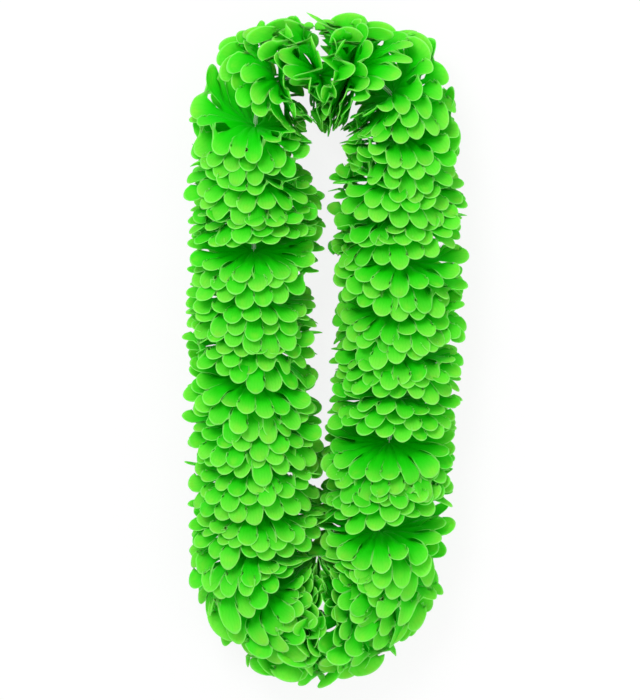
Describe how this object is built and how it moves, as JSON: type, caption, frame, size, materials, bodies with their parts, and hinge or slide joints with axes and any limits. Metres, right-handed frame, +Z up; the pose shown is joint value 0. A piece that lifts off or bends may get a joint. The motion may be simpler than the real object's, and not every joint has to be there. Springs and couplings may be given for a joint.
{
  "type": "artificial flower lei",
  "caption": "Closed garland of cupped, pleated fabric flowers threaded hub to hub with clear spacer tubes, lying flat in a long loop, worn round the neck.",
  "frame": {"origin": "centre of the bottom of the lei's box, on the surface that the petals rest on", "axes": "+Y along the loop's long way toward its wider end, from which the petals of both strands hang away; +X toward the right strand; +Z up, off the surface it lies on"},
  "size_m": [0.2018, 0.4982, 0.0812],
  "materials": {
    "petal_fabric": "pleated satin polyester, bright lime green",
    "clear_plastic": "clear, glossy",
    "thread_fibre": "twisted polyester thread"
  },
  "bodies": {
    "root": {"flower_01": "petal_fabric", "flower_02": "petal_fabric", "flower_03": "petal_fabric", "flower_04": "petal_fabric", "flower_05": "petal_fabric", "flower_06": "petal_fabric", "flower_07": "petal_fabric", "flower_08": "petal_fabric", "flower_09": "petal_fabric", "flower_10": "petal_fabric", "flower_11": "petal_fabric", "flower_12": "petal_fabric", "flower_13": "petal_fabric", "flower_14": "petal_fabric", "flower_15": "petal_fabric", "flower_16": "petal_fabric", "flower_17": "petal_fabric", "flower_18": "petal_fabric", "flower_19": "petal_fabric", "flower_20": "petal_fabric", "flower_21": "petal_fabric", "flower_22": "petal_fabric", "flower_23": "petal_fabric", "flower_24": "petal_fabric", "flower_25": "petal_fabric", "flower_26": "petal_fabric", "flower_27": "petal_fabric", "flower_28": "petal_fabric", "flower_29": "petal_fabric", "spacer_tube_01": "clear_plastic", "spacer_tube_02": "clear_plastic", "spacer_tube_03": "clear_plastic", "spacer_tube_04": "clear_plastic", "spacer_tube_05": "clear_plastic", "spacer_tube_06": "clear_plastic", "spacer_tube_07": "clear_plastic", "spacer_tube_08": "clear_plastic", "spacer_tube_09": "clear_plastic", "spacer_tube_10": "clear_plastic", "spacer_tube_11": "clear_plastic", "spacer_tube_12": "clear_plastic", "spacer_tube_13": "clear_plastic", "spacer_tube_14": "clear_plastic", "spacer_tube_15": "clear_plastic", "spacer_tube_16": "clear_plastic", "spacer_tube_17": "clear_plastic", "spacer_tube_18": "clear_plastic", "spacer_tube_19": "clear_plastic", "spacer_tube_20": "clear_plastic", "spacer_tube_21": "clear_plastic", "spacer_tube_22": "clear_plastic", "spacer_tube_23": "clear_plastic", "spacer_tube_24": "clear_plastic", "spacer_tube_25": "clear_plastic", "spacer_tube_26": "clear_plastic", "spacer_tube_27": "clear_plastic", "spacer_tube_28": "clear_plastic", "spacer_tube_29": "clear_plastic", "stringing_thread": "thread_fibre", "thread_knot": "thread_fibre"}
  },
  "joints": []
}
